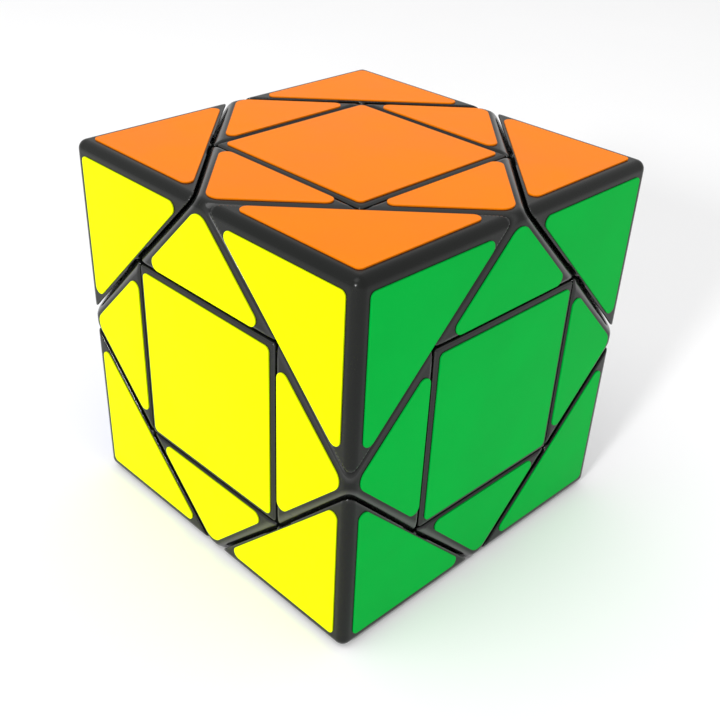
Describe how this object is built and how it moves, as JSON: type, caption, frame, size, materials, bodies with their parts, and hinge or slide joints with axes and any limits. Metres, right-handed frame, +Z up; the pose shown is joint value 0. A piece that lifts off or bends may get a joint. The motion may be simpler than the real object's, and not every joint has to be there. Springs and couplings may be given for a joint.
{
  "type": "twisty puzzle cube",
  "caption": "Cube-shaped face-turning twisty puzzle with square centres, triangular edge pieces and large corners on a sprung core.",
  "frame": {"origin": "centre of the core, which is the centre of the cube", "axes": "+Z up the turning axis of the upper and the lower layer; +X out of the right face, -Y out of the front face"},
  "size_m": [0.057, 0.057, 0.057],
  "materials": {
    "black_plastic": "satin moulded",
    "core_plastic": "moulded",
    "steel": "plated",
    "sticker_orange": "satin vinyl",
    "sticker_yellow": "satin vinyl",
    "sticker_green": "satin vinyl",
    "sticker_red": "satin vinyl",
    "sticker_blue": "satin vinyl",
    "sticker_white": "satin vinyl"
  },
  "bodies": {
    "middle_layer": {"core": "core_plastic", "screw_top": "steel", "washer_top": "steel", "spring_top": "steel", "screw_bottom": "steel", "washer_bottom": "steel", "spring_bottom": "steel", "center_front": "black_plastic", "center_cap_front": "black_plastic", "screw_front": "steel", "washer_front": "steel", "spring_front": "steel", "center_back": "black_plastic", "center_cap_back": "black_plastic", "screw_back": "steel", "washer_back": "steel", "spring_back": "steel", "center_right": "black_plastic", "center_cap_right": "black_plastic", "screw_right": "steel", "washer_right": "steel", "spring_right": "steel", "center_left": "black_plastic", "center_cap_left": "black_plastic", "screw_left": "steel", "washer_left": "steel", "spring_left": "steel", "edge_front_right": "black_plastic", "edge_front_left": "black_plastic", "edge_back_right": "black_plastic", "edge_back_left": "black_plastic"},
    "upper_layer": {"center_top": "black_plastic", "center_cap_top": "black_plastic", "edge_top_front": "black_plastic", "edge_top_back": "black_plastic", "edge_top_right": "black_plastic", "edge_top_left": "black_plastic", "corner_top_front_right": "black_plastic", "corner_top_front_left": "black_plastic", "corner_top_back_right": "black_plastic", "corner_top_back_left": "black_plastic"},
    "lower_layer": {"center_bottom": "black_plastic", "center_cap_bottom": "black_plastic", "edge_bottom_front": "black_plastic", "edge_bottom_back": "black_plastic", "edge_bottom_right": "black_plastic", "edge_bottom_left": "black_plastic", "corner_bottom_front_right": "black_plastic", "corner_bottom_front_left": "black_plastic", "corner_bottom_back_right": "black_plastic", "corner_bottom_back_left": "black_plastic"}
  },
  "joints": [
    {"name": "upper_turn", "type": "hinge", "parent": "middle_layer", "child": "upper_layer", "pos_m": [0, 0, 0], "axis": [0, 0, 1], "continuous": true},
    {"name": "lower_turn", "type": "hinge", "parent": "middle_layer", "child": "lower_layer", "pos_m": [0, 0, 0], "axis": [0, 0, -1], "continuous": true}
  ]
}
